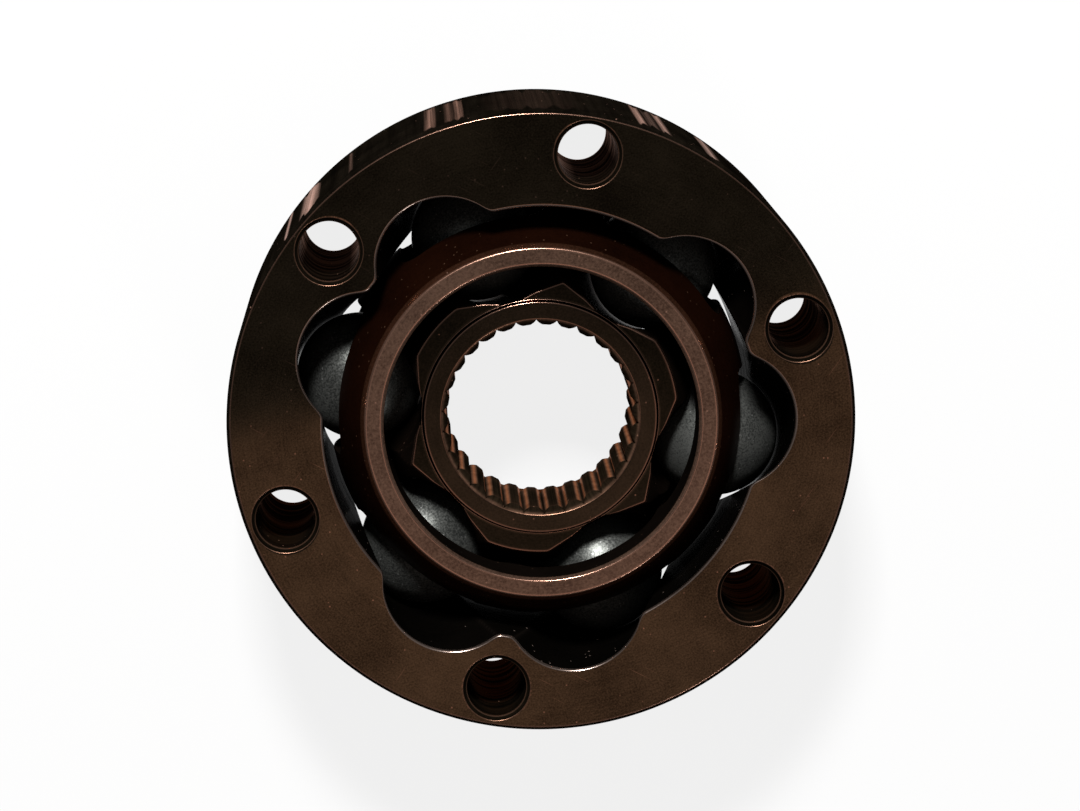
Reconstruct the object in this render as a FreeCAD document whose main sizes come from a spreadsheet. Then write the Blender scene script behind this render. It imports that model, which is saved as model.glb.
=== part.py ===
import FreeCAD, Part
import math
import os
import Sketcher

# Constant velocity joint, cross-groove disc type, lengths in millimetres.
# The joint axis is Z and the origin is the joint's centre, where the ball plane crosses the axis.
# Six balls run in straight tracks. A track of the outer race leans one way round the axis and the track of the
# inner race that faces it leans the other way, so each ball is held where its two tracks cross, and the cage keeps
# all six in the plane that halves the angle between the two shafts.

os.makedirs("parts", exist_ok=True)
doc = FreeCAD.newDocument("constant_velocity_joint")

# Driving dimensions: name, value, what it measures

DIMENSIONS = [
    ("ball_count", 6, "balls, and so tracks in each race and windows in the cage"),
    ("ball_radius", 11.11, "a 7/8 inch bearing ball"),
    ("skew_angle", 15.5, "lean of every ball track against the joint axis, in degrees"),
    ("track_play", 0.19, "ball surface to track wall"),
    ("race_radius", 54.0, "outside of the outer race"),
    ("race_width", 42.5, "outer race, face to face"),
    ("race_edge", 0.9, "bevel on the outer race's rim"),
    ("bolt_inset", 7.0, "rim in to the bolt circle"),
    ("ball_inset", 15.25, "bolt circle in to the ball circle"),
    ("land_rise", 5.75, "ball circle out to the lands of the outer race's bore"),
    ("land_edge", 0.4, "bevel on the two ends of the bore's lands"),
    ("bolt_count", 6, "bolts through the outer race"),
    ("bolt_hole_radius", 5.125, "clearance hole for an M10 bolt"),
    ("bolt_hole_edge", 0.75, "countersink of a bolt hole"),
    ("cage_width", 41.2, "cage, rim to rim"),
    ("cage_play", 0.7, "cage sphere to the outer race's lands"),
    ("cage_bevel", 0.7, "bevel outside each rim of the cage"),
    ("opening_inset", 4.65, "ball circle in to the bore at the cage's two ends"),
    ("cage_opening_edge", 0.5, "bevel inside each rim of the cage"),
    ("window_play", 0.2, "ball to a window's front or back wall"),
    ("window_room", 1.9, "ball to a window's end wall, for its travel round the axis"),
    ("window_corner", 3.5, "corner radius of a window"),
    ("star_play", 0.7, "inner race sphere to the cage's inner sphere"),
    ("star_width", 27.2, "inner race between its two land faces"),
    ("face_inset", 7.75, "ball circle in to the corner of the inner race's land faces"),
    ("hub_rise", 1.0, "hub ring above the land faces"),
    ("hub_inset", 3.8, "corner of the land faces in to the top of the hub ring"),
    ("hub_foot", 0.3, "slope at the foot of the hub ring"),
    ("mouth_wall", 0.4, "land face left between the hub ring and the relief at the mouth of an inner track"),
    ("mouth_flank_angle", 6.2, "lean of the relief's two flanks off the tangent, in degrees"),
    ("mouth_depth", 5.0, "depth over which the relief runs out"),
    ("mouth_slope_angle", 38.0, "slope of the relief's flanks off the axis, in degrees"),
    ("spline_teeth", 30, "teeth of the shaft spline"),
    ("hub_wall", 4.2, "top of the hub ring in to the crests of the spline teeth"),
    ("spline_depth", 1.1, "crest to root of the spline"),
    ("space_root_half", 0.1, "half the flat at the root of a tooth space"),
    ("space_share", 0.66, "part of the tooth pitch that is open at the crests"),
    ("flank_radius", 2.2, "rounding of a tooth's flank"),
    ("spline_length", 20.0, "engaged length of the spline, from the front of the hub"),
    ("spline_edge", 0.1, "spline root out to the rim of the bevel at its mouth"),
    ("recess_step", 1.1, "spline root out to the wall of the recess behind the spline"),
]

# Sizes that follow from them: name, formula, what it measures

DERIVED = [
    ("bolt_circle_radius", "race_radius - bolt_inset", "joint axis to the bolt holes"),
    ("pitch_radius", "bolt_circle_radius - ball_inset", "joint axis to ball centre"),
    ("track_pairs", "ball_count / 2", "opposite tracks that lean as one, an odd number of them"),
    ("track_radius", "ball_radius + track_play", "ball track"),
    ("half_race", "race_width / 2", "outer race face above the ball plane"),
    ("bore_radius", "pitch_radius + land_rise", "lands of the outer race's bore"),
    ("bore_mouth_radius", "bore_radius + land_edge", "rim of the bore's bevel"),
    ("bore_wall_height", "half_race - land_edge", "foot of the bore's bevel"),
    ("rim_face_radius", "race_radius - race_edge", "outer end of the race's face"),
    ("rim_wall_height", "half_race - race_edge", "foot of the rim's bevel"),
    ("bolt_side", "bolt_circle_radius + bolt_hole_radius", "far wall of a bolt hole"),
    ("bolt_mouth", "bolt_side + bolt_hole_edge", "far edge of its countersink"),
    ("bolt_wall_height", "half_race - bolt_hole_edge", "foot of the countersink"),
    ("half_cage", "cage_width / 2", "cage rim above the ball plane"),
    ("cage_radius", "bore_radius - cage_play", "outside sphere of the cage"),
    ("cage_opening_radius", "pitch_radius - opening_inset", "bore at the cage's two ends"),
    ("cage_bevel_height", "half_cage - cage_bevel", "foot of the cage's outer bevel"),
    ("cage_bevel_radius", "sqrt(cage_radius ^ 2 - cage_bevel_height ^ 2)", "where the sphere meets that bevel"),
    ("cage_rim_radius", "cage_bevel_radius - cage_bevel", "outer end of the cage's rim face"),
    ("cage_lip_radius", "cage_opening_radius + cage_opening_edge", "inner end of the rim face"),
    ("cage_throat_height", "half_cage - cage_opening_edge", "foot of the inner bevel"),
    ("half_star", "star_width / 2", "land face above the ball plane"),
    ("star_face_radius", "pitch_radius - face_inset", "corner of the inner race's land faces"),
    ("star_radius", "sqrt(star_face_radius ^ 2 + half_star ^ 2)", "outside sphere of the inner race"),
    ("cage_hollow_radius", "star_radius + star_play", "sphere inside the cage"),
    ("cage_neck_height", "sqrt(cage_hollow_radius ^ 2 - cage_opening_radius ^ 2)", "where it meets the opening"),
    ("window_half_height", "ball_radius + window_play", "half a window along the axis"),
    ("window_half_length", "ball_radius + window_room", "half a window round the axis"),
    ("window_corner_across", "window_half_length - window_corner", "centre of a window's corner"),
    ("window_corner_up", "window_half_height - window_corner", "centre of a window's corner"),
    ("hub_height", "half_star + hub_rise", "top of the hub ring above the ball plane"),
    ("hub_radius", "star_face_radius - hub_inset", "top of the hub ring"),
    ("hub_foot_radius", "hub_radius + hub_foot", "foot of the hub ring"),
    ("spline_tip_radius", "hub_radius - hub_wall", "crests of the spline teeth"),
    ("spline_root_radius", "spline_tip_radius + spline_depth", "roots of the tooth spaces"),
    ("spline_mouth_radius", "spline_root_radius + spline_edge", "rim of the bevel at the spline's mouth"),
    ("spline_bevel_height", "hub_height - spline_depth - spline_edge", "foot of that bevel"),
    ("spline_end_height", "hub_height - spline_length", "back end of the spline"),
    ("recess_radius", "spline_root_radius + recess_step", "recess behind the spline"),
    ("space_mouth_half", "spline_tip_radius * pi / spline_teeth * space_share", "half a tooth space's opening"),
    ("space_crest", "sqrt(spline_tip_radius ^ 2 - space_mouth_half ^ 2)", "where a tooth space opens"),
    ("space_back", "spline_tip_radius - spline_depth", "back of the cutter, clear of the bore"),
    ("mouth_lead", "atan(half_star * tan(skew_angle) / pitch_radius) / 1deg", "turn of a track's mouth, in degrees"),
    ("mouth_root_radius", "hub_foot_radius + mouth_wall", "deepest line of the relief"),
    ("mouth_reach", "star_radius + mouth_depth", "outer side of the relief's cutter"),
    ("mouth_flank_rise", "mouth_reach / 2 * tan(mouth_flank_angle)", "rise of its flank over half its width"),
    ("mouth_half_width", "mouth_reach / 2", "half the width of the relief's cutter"),
    ("mouth_flank_end", "mouth_root_radius + mouth_flank_rise", "far end of the relief's flank"),
]

sheet = doc.addObject("Spreadsheet::Sheet", "dims")
for row, (alias, value, meaning) in enumerate(DIMENSIONS + DERIVED, start=1):
    sheet.set("A%d" % row, meaning)
    sheet.set("B%d" % row, "=" + value if isinstance(value, str) else str(value))
    sheet.setAlias("B%d" % row, alias)
doc.recompute()

# How a sketch counts: the ends and centre of a curve, its own two axes, and its origin as the start of the first

START, END, CENTRE = range(1, 4)
H_AXIS, V_AXIS = range(-1, -3, -1)
ORIGIN = (H_AXIS, START)


def size(alias):
    """A dimension as the sheet holds it."""
    return float(sheet.get(alias))


def new_body(label):
    body = doc.addObject("PartDesign::Body", label)
    body.Label = label
    return body


def origin_feature(body, role):
    """One of the body's own planes or axes, by its role."""
    return [feature for feature in body.Origin.OriginFeatures if feature.Role == role][0]


def new_sketch(body, name, plane):
    sketch = body.newObject("Sketcher::SketchObject", name)
    sketch.AttachmentSupport = [(origin_feature(body, plane), "")]
    sketch.MapMode = "FlatFace"
    return sketch


def vector(x, y):
    return FreeCAD.Vector(x, y, 0)


def below(point):
    """The point's image in the sketch's horizontal axis."""
    return (point[0], -point[1])


def corner(x_alias, y_alias):
    return (size(x_alias), size(y_alias))


def add_line(sketch, start, end):
    return sketch.addGeometry(Part.LineSegment(vector(*start), vector(*end)), False)


def add_arc(sketch, centre, radius, start, end):
    """Arc about a centre, counter-clockwise from one point to another."""
    first = math.atan2(start[1] - centre[1], start[0] - centre[0])
    last = math.atan2(end[1] - centre[1], end[0] - centre[0])
    circle = Part.Circle(vector(*centre), FreeCAD.Vector(0, 0, 1), radius)
    return sketch.addGeometry(Part.ArcOfCircle(circle, first, last), False)


def bind(sketch, index, alias):
    """Ties a constraint to a dimension, or to its negative."""
    sign = "-" if alias.startswith("-") else ""
    sketch.setExpression("Constraints[%d]" % index, "%sdims.%s" % (sign, alias.lstrip("-")))


def place(sketch, geometry, point, x_alias=None, y_alias=None):
    """Sets a point's distances from the sketch's origin, each tied to its dimension."""
    at = sketch.getPoint(geometry, point)
    for kind, value, alias in (("DistanceX", at.x, x_alias), ("DistanceY", at.y, y_alias)):
        if alias:
            bind(sketch, sketch.addConstraint(Sketcher.Constraint(kind, *ORIGIN, geometry, point, value)), alias)


def set_radius(sketch, geometry, alias):
    value = sketch.Geometry[geometry].Radius
    bind(sketch, sketch.addConstraint(Sketcher.Constraint("Radius", geometry, value)), alias)


def meet(sketch, first, second):
    """Two (geometry, point) ends coincide."""
    sketch.addConstraint(Sketcher.Constraint("Coincident", *first, *second))


def mirror(sketch, first, second):
    """Two (geometry, point) ends are each other's image in the ball plane."""
    sketch.addConstraint(Sketcher.Constraint("Symmetric", *first, *second, H_AXIS))


def outline(sketch, aliases, closed=True):
    """Straight lines from corner to corner, each corner placed by its pair of dimensions."""
    points = [tuple(signed(alias) for alias in pair) for pair in aliases]
    count = len(points) if closed else len(points) - 1
    lines = [add_line(sketch, points[i], points[(i + 1) % len(points)]) for i in range(count)]
    for i in range(count if closed else count - 1):
        meet(sketch, (lines[i], END), (lines[(i + 1) % count], START))
    for line, pair in zip(lines, aliases):
        place(sketch, line, START, *pair)
    return lines


def signed(alias):
    return -size(alias[1:]) if alias.startswith("-") else size(alias)


def mirrored_outline(sketch, aliases):
    """Closed outline of straight lines: the corners above the ball plane, and their images below it."""
    points = [corner(*pair) for pair in aliases]
    points += [below(point) for point in reversed(points)]
    count = len(points)
    lines = [add_line(sketch, points[i], points[(i + 1) % count]) for i in range(count)]
    for i in range(count):
        meet(sketch, (lines[i], END), (lines[(i + 1) % count], START))
    for i, pair in enumerate(aliases):
        place(sketch, lines[i], START, *pair)
        mirror(sketch, (lines[i], START), (lines[count - 1 - i], START))


def turn(body, sketch, name, kind="PartDesign::Revolution", axis="V_Axis"):
    """The section turned once round its axis, as metal added or taken away."""
    feature = body.newObject(kind, name)
    feature.Profile = sketch
    feature.ReferenceAxis = (sketch, [axis])
    feature.Angle = 360
    return feature


def cut_through(body, sketch, name, both_ways=True):
    feature = body.newObject("PartDesign::Pocket", name)
    feature.Profile = sketch
    feature.SideType = "Symmetric" if both_ways else "One side"
    feature.Type = "ThroughAll"
    return feature


def repeat_round(body, features, name, count_alias):
    """Copies of features evenly round the joint axis."""
    pattern = body.newObject("PartDesign::PolarPattern", name)
    pattern.Originals = features
    pattern.Axis = (origin_feature(body, "Z_Axis"), [""])
    pattern.Angle = 360
    pattern.setExpression("Occurrences", "dims." + count_alias)
    body.Tip = pattern
    return pattern


def ball_tracks(body, lean):
    """Straight ball tracks: two opposite ones drilled along parallel lines that lean in the plane of X and Z.

    Seen from the joint axis those two lean opposite ways, so their copies alternate all round. The other race leans
    the other way.
    """
    sketch = new_sketch(body, body.Label + "_track_circles", "XY_Plane")
    tilt = FreeCAD.Rotation(FreeCAD.Vector(0, lean, 0), size("skew_angle"))
    sketch.AttachmentOffset = FreeCAD.Placement(FreeCAD.Vector(0, 0, 0), tilt)
    sketch.setExpression("AttachmentOffset.Rotation.Angle", "dims.skew_angle")
    for sign in ("", "-"):
        centre = vector(0, signed(sign + "pitch_radius"))
        circle = sketch.addGeometry(Part.Circle(centre, FreeCAD.Vector(0, 0, 1), size("track_radius")), False)
        set_radius(sketch, circle, "track_radius")
        sketch.addConstraint(Sketcher.Constraint("PointOnObject", circle, CENTRE, V_AXIS))
        place(sketch, circle, CENTRE, y_alias=sign + "pitch_radius")
    pair = cut_through(body, sketch, body.Label + "_track_pair")
    repeat_round(body, [pair], body.Label + "_tracks", "track_pairs")


# Outer race: a turned disc with bevelled rims, six bolt holes and six leaning ball tracks round its bore

def build_outer_race():
    body = new_body("outer_race")
    section = new_sketch(body, "race_section", "XZ_Plane")
    mirrored_outline(section, [
        ("bore_radius", "bore_wall_height"),
        ("bore_mouth_radius", "half_race"),
        ("rim_face_radius", "half_race"),
        ("race_radius", "rim_wall_height"),
    ])
    turn(body, section, "race_disc")
    bolt_holes(body)
    ball_tracks(body, lean=-1)
    return body


def bolt_holes(body):
    """One through hole with a countersink at each face, cut by turning its section about its own axis."""
    section = new_sketch(body, "bolt_hole_section", "XZ_Plane")
    mirrored_outline(section, [
        ("bolt_circle_radius", "half_race"),
        ("bolt_mouth", "half_race"),
        ("bolt_side", "bolt_wall_height"),
    ])
    top = corner("bolt_circle_radius", "half_race")
    axis = section.addGeometry(Part.LineSegment(vector(*below(top)), vector(*top)), True)
    place(section, axis, END, "bolt_circle_radius", "half_race")
    mirror(section, (axis, END), (axis, START))
    hole = turn(body, section, "bolt_hole", "PartDesign::Groove", "Axis0")
    repeat_round(body, [hole], "bolt_holes", "bolt_count")


# Cage: a ring with a spherical outside, flat bevelled rims, a spherical hollow and one window for each ball

def build_cage():
    body = new_body("cage")
    section = new_sketch(body, "cage_section", "XZ_Plane")
    corners = [
        ("cage_bevel_radius", "cage_bevel_height"),
        ("cage_rim_radius", "half_cage"),
        ("cage_lip_radius", "half_cage"),
        ("cage_opening_radius", "cage_throat_height"),
        ("cage_opening_radius", "cage_neck_height"),
    ]
    upper = [corner(*pair) for pair in corners]
    lower = [below(point) for point in upper]
    top = [add_line(section, upper[i], upper[i + 1]) for i in range(4)]
    bottom = [add_line(section, lower[i], lower[i + 1]) for i in range(4)]
    outside = add_arc(section, (0, 0), size("cage_radius"), lower[0], upper[0])
    hollow = add_arc(section, (0, 0), size("cage_hollow_radius"), lower[4], upper[4])
    for lines, arc_end in ((top, END), (bottom, START)):
        meet(section, (outside, arc_end), (lines[0], START))
        meet(section, (lines[3], END), (hollow, arc_end))
        for i in range(3):
            meet(section, (lines[i], END), (lines[i + 1], START))
    for arc, alias in ((outside, "cage_radius"), (hollow, "cage_hollow_radius")):
        meet(section, (arc, CENTRE), ORIGIN)
        set_radius(section, arc, alias)
    place(section, top[0], START, y_alias="cage_bevel_height")
    for line, pair in zip(top[1:], corners[1:4]):
        place(section, line, START, *pair)
    place(section, top[3], END, x_alias="cage_opening_radius")
    place(section, bottom[0], START, y_alias="-cage_bevel_height")
    for high, low in zip(top[1:], bottom[1:]):
        mirror(section, (high, START), (low, START))
    place(section, bottom[3], END, x_alias="cage_opening_radius")
    turn(body, section, "cage_ring")
    cage_windows(body)
    return body


def cage_windows(body):
    """One round-cornered window, milled straight out through the wall, and its copies."""
    sketch = new_sketch(body, "window_outline", "XZ_Plane")
    across, up = corner("window_corner_across", "window_corner_up")
    radius = size("window_corner")
    arcs = []
    for quarter, (x, y) in enumerate(((1, 1), (-1, 1), (-1, -1), (1, -1))):
        circle = Part.Circle(vector(x * across, y * up), FreeCAD.Vector(0, 0, 1), radius)
        first = quarter * math.pi / 2
        arcs.append(sketch.addGeometry(Part.ArcOfCircle(circle, first, first + math.pi / 2), False))
    for quarter, arc in enumerate(arcs):
        following = arcs[(quarter + 1) % 4]
        start = sketch.getPoint(arc, END)
        end = sketch.getPoint(following, START)
        side = add_line(sketch, (start.x, start.y), (end.x, end.y))
        sketch.addConstraint(Sketcher.Constraint("Tangent", arc, END, side, START))
        sketch.addConstraint(Sketcher.Constraint("Tangent", side, END, following, START))
        sketch.addConstraint(Sketcher.Constraint("Vertical" if quarter % 2 else "Horizontal", side))
    for arc in arcs[1:3]:
        sketch.addConstraint(Sketcher.Constraint("Equal", arcs[0], arc))
    sketch.addConstraint(Sketcher.Constraint("Symmetric", arcs[0], CENTRE, arcs[2], CENTRE, *ORIGIN))
    set_radius(sketch, arcs[0], "window_corner")
    place(sketch, arcs[0], CENTRE, "window_corner_across", "window_corner_up")
    window = cut_through(body, sketch, "window", both_ways=False)
    repeat_round(body, [window], "windows", "ball_count")


# Inner race: a star with a raised hub ring at each end, leaning tracks that open out at their mouths, a splined bore

def build_inner_race():
    body = new_body("inner_race")
    star_blank(body)
    track_mouths(body)
    ball_tracks(body, lean=1)
    spline(body)
    return body


def star_blank(body):
    """The turned star, its bore at the crests of the spline and opened out behind it."""
    section = new_sketch(body, "star_section", "XZ_Plane")
    corners = [
        ("star_face_radius", "half_star"),
        ("hub_foot_radius", "half_star"),
        ("hub_radius", "hub_height"),
        ("spline_mouth_radius", "hub_height"),
        ("spline_tip_radius", "spline_bevel_height"),
        ("spline_tip_radius", "spline_end_height"),
        ("recess_radius", "spline_end_height"),
        ("recess_radius", "-hub_height"),
        ("hub_radius", "-hub_height"),
        ("hub_foot_radius", "-half_star"),
        ("star_face_radius", "-half_star"),
    ]
    lines = outline(section, corners, closed=False)
    face = corner("star_face_radius", "half_star")
    outside = add_arc(section, (0, 0), size("star_radius"), below(face), face)
    meet(section, (outside, END), (lines[0], START))
    meet(section, (outside, START), (lines[-1], END))
    meet(section, (outside, CENTRE), ORIGIN)
    place(section, lines[-1], END, y_alias="-half_star")
    turn(body, section, "star_disc")


def track_mouths(body):
    """A shallow V of relief where each track leaves a land face, running out a little way down the track."""
    cuts = []
    for face, side in (("front", 1), ("back", -1)):
        for turned, lead in ((0, "-"), (60, "")):
            sign = lead if side > 0 else {"": "-", "-": ""}[lead]
            sketch = new_sketch(body, "mouth_%s_%d" % (face, turned), "XY_Plane")
            angle = turned + signed(sign + "mouth_lead")
            sketch.AttachmentOffset = FreeCAD.Placement(
                FreeCAD.Vector(0, 0, side * size("half_star")), FreeCAD.Rotation(FreeCAD.Vector(0, 0, 1), angle))
            sketch.setExpression("AttachmentOffset.Base.z", "%d * dims.half_star" % side)
            sketch.setExpression("AttachmentOffset.Rotation.Angle", "%d %s dims.mouth_lead" % (turned, sign or "+"))
            v_relief(sketch)
            cut = body.newObject("PartDesign::Pocket", "mouth_cut_%s_%d" % (face, turned))
            cut.Profile = sketch
            cut.Type = "Length"
            cut.Reversed = side < 0
            cut.setExpression("Length", "dims.mouth_depth")
            cut.setExpression("TaperAngle", "-dims.mouth_slope_angle")
            cuts.append(cut)
    repeat_round(body, cuts, "mouths", "track_pairs")


def v_relief(sketch):
    """A very open V across the track's mouth, closed well outside the star."""
    half = size("mouth_half_width")
    root = (0, size("mouth_root_radius"))
    right = (half, size("mouth_flank_end"))
    far = (half, size("mouth_reach"))
    points = [root, right, far, (-far[0], far[1]), (-right[0], right[1])]
    lines = [add_line(sketch, points[i], points[(i + 1) % 5]) for i in range(5)]
    for i in range(5):
        meet(sketch, (lines[i], END), (lines[(i + 1) % 5], START))
    sketch.addConstraint(Sketcher.Constraint("PointOnObject", lines[0], START, V_AXIS))
    place(sketch, lines[0], START, y_alias="mouth_root_radius")
    place(sketch, lines[1], START, "mouth_half_width", "mouth_flank_end")
    place(sketch, lines[2], START, "mouth_half_width", "mouth_reach")
    for first, second in ((1, 4), (2, 3)):
        sketch.addConstraint(Sketcher.Constraint("Symmetric", lines[first], START, lines[second], START, V_AXIS))


def spline(body):
    """One tooth space with rounded flanks, cut along the bore, and its copies."""
    sketch = new_sketch(body, "tooth_space", "XY_Plane")
    root = corner("spline_root_radius", "space_root_half")
    crest = corner("space_crest", "space_mouth_half")
    back = corner("space_back", "space_mouth_half")
    radius = size("flank_radius")
    chord = math.dist(root, crest)
    reach = math.sqrt(radius ** 2 - chord ** 2 / 4) / chord
    centre = (
        (root[0] + crest[0]) / 2 + reach * (crest[1] - root[1]),
        (root[1] + crest[1]) / 2 + reach * (root[0] - crest[0]),
    )
    left_flank = add_arc(sketch, centre, radius, crest, root)
    right_flank = add_arc(sketch, below(centre), radius, below(root), below(crest))
    bed = add_line(sketch, below(root), root)
    left = add_line(sketch, crest, back)
    rear = add_line(sketch, back, below(back))
    right = add_line(sketch, below(back), below(crest))
    for first, second in (
        ((bed, END), (left_flank, END)), ((left_flank, START), (left, START)), ((left, END), (rear, START)),
        ((rear, END), (right, START)), ((right, END), (right_flank, END)), ((right_flank, START), (bed, START)),
    ):
        meet(sketch, first, second)
    for flank in (left_flank, right_flank):
        set_radius(sketch, flank, "flank_radius")
    place(sketch, bed, END, "spline_root_radius", "space_root_half")
    place(sketch, left, START, "space_crest", "space_mouth_half")
    place(sketch, rear, START, "space_back", "space_mouth_half")
    mirror(sketch, (bed, START), (bed, END))
    mirror(sketch, (left, START), (right, END))
    mirror(sketch, (rear, START), (rear, END))
    space = cut_through(body, sketch, "tooth_space_cut")
    repeat_round(body, [space], "tooth_spaces", "spline_teeth")


# Balls: one where every pair of facing tracks crosses

def build_ball(number):
    ball = doc.addObject("Part::Sphere", "ball_%d" % number)
    ball.Label = "ball_%d" % number
    ball.setExpression("Radius", "dims.ball_radius")
    angle = math.radians(number * 60 - 30)
    centre = FreeCAD.Vector(math.cos(angle), math.sin(angle), 0) * size("pitch_radius")
    ball.Placement = FreeCAD.Placement(centre, FreeCAD.Rotation())
    for axis, share in (("x", math.cos(angle)), ("y", math.sin(angle))):
        ball.setExpression("Placement.Base." + axis, "%.9f * dims.pitch_radius" % share)
    return ball


pieces = [build_outer_race(), build_cage(), build_inner_race()]
pieces += [build_ball(number) for number in range(1, int(size("ball_count")) + 1)]
doc.recompute()

# Every feature is sound before a sub-part is written

for entry in doc.Objects:
    if "Invalid" in entry.State or "Error" in entry.State:
        raise RuntimeError("%s did not build: %s" % (entry.Label, entry.State))

for piece in pieces:
    shape = piece.Shape
    if shape.isNull() or not shape.isValid():
        raise RuntimeError("%s has no sound shape" % piece.Label)
    shape.exportStep("parts/%s.step" % piece.Label)
    print("%-12s volume %10.1f mm3, %3d faces" % (piece.Label, shape.Volume, len(shape.Faces)))
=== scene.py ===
# %% [markdown]
# # A constant velocity joint, dressed for its picture
# The joint carries torque through an angle. A thick outer race is bolted to a drive flange, a splined inner
# race takes the shaft, and six balls, kept in one plane by a cage, couple the two. Everything here is built on
# the frame of the imported CAD model, so it is loaded first.

# %% Load the frame
import math
import bmesh
import bpy
import numpy as np
from mathutils import Matrix, Vector


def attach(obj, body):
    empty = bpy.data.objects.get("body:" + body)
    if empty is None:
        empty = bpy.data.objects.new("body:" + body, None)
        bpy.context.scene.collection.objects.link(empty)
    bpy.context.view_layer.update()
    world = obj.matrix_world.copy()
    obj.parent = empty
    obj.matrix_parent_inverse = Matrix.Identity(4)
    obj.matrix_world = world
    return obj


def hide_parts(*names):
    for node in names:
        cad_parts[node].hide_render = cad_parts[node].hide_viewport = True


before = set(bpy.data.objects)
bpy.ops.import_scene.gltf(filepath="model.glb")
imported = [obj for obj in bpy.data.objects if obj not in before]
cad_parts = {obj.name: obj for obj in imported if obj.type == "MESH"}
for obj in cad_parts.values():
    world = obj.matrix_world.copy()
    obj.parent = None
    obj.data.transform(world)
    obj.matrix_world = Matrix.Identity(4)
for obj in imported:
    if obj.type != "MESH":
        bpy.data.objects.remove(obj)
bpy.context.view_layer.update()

# %% [markdown]
# ## Sizes
# A machinist reads these from the drawing, in millimetres. They are the CAD model's own, but the rim stands
# 0.02 mm in, to stay inside the model's box, and its bevel is as narrow as on the real joint. Blender works
# in metres, so a surface is scaled where its mesh is made.

# %% Sizes in millimetres
MM = 0.001
BALLS = 6
BALL_RADIUS = 11.11
PITCH_RADIUS = 31.75
TRACK_RADIUS = 11.3
LEAN = math.radians(15.5)

RACE_RADIUS = 53.98
HALF_RACE = 21.25
RACE_BEVEL = 0.65
LAND_RADIUS = 37.5
LAND_BEVEL = 0.4
BOLT_CIRCLE = 47.0
BOLT_HOLE = 5.125
BOLT_BEVEL = 0.75

CAGE_RADIUS = 36.8
HALF_CAGE = 20.6
CAGE_BEVEL = 0.7
CAGE_OPENING = 27.1
CAGE_LIP = 0.5
WINDOW_HALF_LENGTH = 13.01
WINDOW_HALF_HEIGHT = 11.31
WINDOW_CORNER = 3.5

HALF_STAR = 13.6
STAR_FACE = 24.0
STAR_RADIUS = math.hypot(STAR_FACE, HALF_STAR)
CAGE_HOLLOW = STAR_RADIUS + 0.7
HUB_TOP = 14.6
HUB_RADIUS = 20.2
HUB_FOOT = 20.5
MOUTH_ROOT = 20.9
MOUTH_FLANK = math.radians(6.2)
MOUTH_SLOPE = math.radians(38.0)
TEETH = 30
TOOTH_CREST = 16.0
TOOTH_ROOT = 17.1
SPLINE_END = -5.4
RECESS_RADIUS = 18.2
print(f"race {2 * RACE_RADIUS:.2f} by {2 * HALF_RACE} mm, star sphere {STAR_RADIUS:.2f} mm")

# %% [markdown]
# ## From surface to mesh
# Each part is a closed skin sewn from patches. A patch is a grid of points that a formula fills as one
# array, and neighbours share the points of their border. One function turns the grids into faces, gives
# every patch its finish, and welds the borders. It prints how many stayed open, and the volume, which is
# positive where a skin faces outwards. A patch also says how close each point is to an edge, because edges
# are where steel is burnished bright.

# %% Sew patches into a piece
WELD_DISTANCE = 2e-7
SLIVER = 1e-8


def grid_faces(rows, columns, first):
    """Corner numbers of the four-sided faces of a grid whose last column joins its first."""
    row, column = np.arange(rows - 1)[:, None], np.arange(columns)
    beside = (column + 1) % columns
    below, above = row * columns, (row + 1) * columns
    corners = [below + column, below + beside, above + beside, above + column]
    return np.stack(corners, axis=-1).reshape(-1, 4) + first


def patch(points, edge=0.0, finish=0):
    """A grid of points, rows by columns by 3, its nearness to an edge and the number of its finish."""
    return {"points": points, "edge": np.broadcast_to(edge, points.shape[:2]), "finish": finish}


def add_object(name, data, place=Matrix()):
    """An object of a mesh, lamp or camera, put in its place in the scene."""
    made = bpy.data.objects.new(name, data)
    made.matrix_world = place
    bpy.context.scene.collection.objects.link(made)
    return made


def sew(name, patches, materials):
    """Welds the patches into one smooth mesh at the origin, with a finish for each patch."""
    faces, finishes, count = [], [], 0
    for part in patches:
        rows, columns = part["points"].shape[:2]
        faces.append(grid_faces(rows, columns, count))
        finishes.append(np.full(len(faces[-1]), part["finish"], dtype=np.int32))
        count += rows * columns
    points = np.concatenate([part["points"].reshape(-1, 3) for part in patches])
    edges = np.concatenate([part["edge"].reshape(-1) for part in patches])
    mesh = bpy.data.meshes.new(name)
    mesh.from_pydata(points * MM, [], np.concatenate(faces))
    mesh.polygons.foreach_set("material_index", np.concatenate(finishes))
    mesh.attributes.new("edge", "FLOAT", "POINT").data.foreach_set("value", edges.astype(np.float32))
    work = bmesh.new()
    work.from_mesh(mesh)
    bmesh.ops.remove_doubles(work, verts=work.verts, dist=WELD_DISTANCE)
    bmesh.ops.dissolve_degenerate(work, edges=work.edges, dist=SLIVER)
    bmesh.ops.recalc_face_normals(work, faces=work.faces)
    triangles = sum(len(face.verts) - 2 for face in work.faces)
    volume = work.calc_volume(signed=True) / MM ** 3
    open_borders = sum(not edge.is_manifold for edge in work.edges)
    print(f"{name}: {triangles} triangles, {volume:.0f} mm3, {open_borders} open borders")
    work.to_mesh(mesh)
    work.free()
    mesh.shade_smooth()
    for material in materials:
        mesh.materials.append(material)
    piece = add_object(name, mesh)
    piece.modifiers.new("steady_normals", "WEIGHTED_NORMAL").keep_sharp = False
    return piece


# %% [markdown]
# ## Shaping tools
# Machined parts are mostly turned, so a profile swept round an axis is the first tool. No real corner is
# perfectly sharp, so the second rounds corners and marks them as edges. Where a ball track runs out into a
# land, a smooth maximum or minimum melts the two surfaces into one.

# %% Profiles, turning and blending


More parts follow.
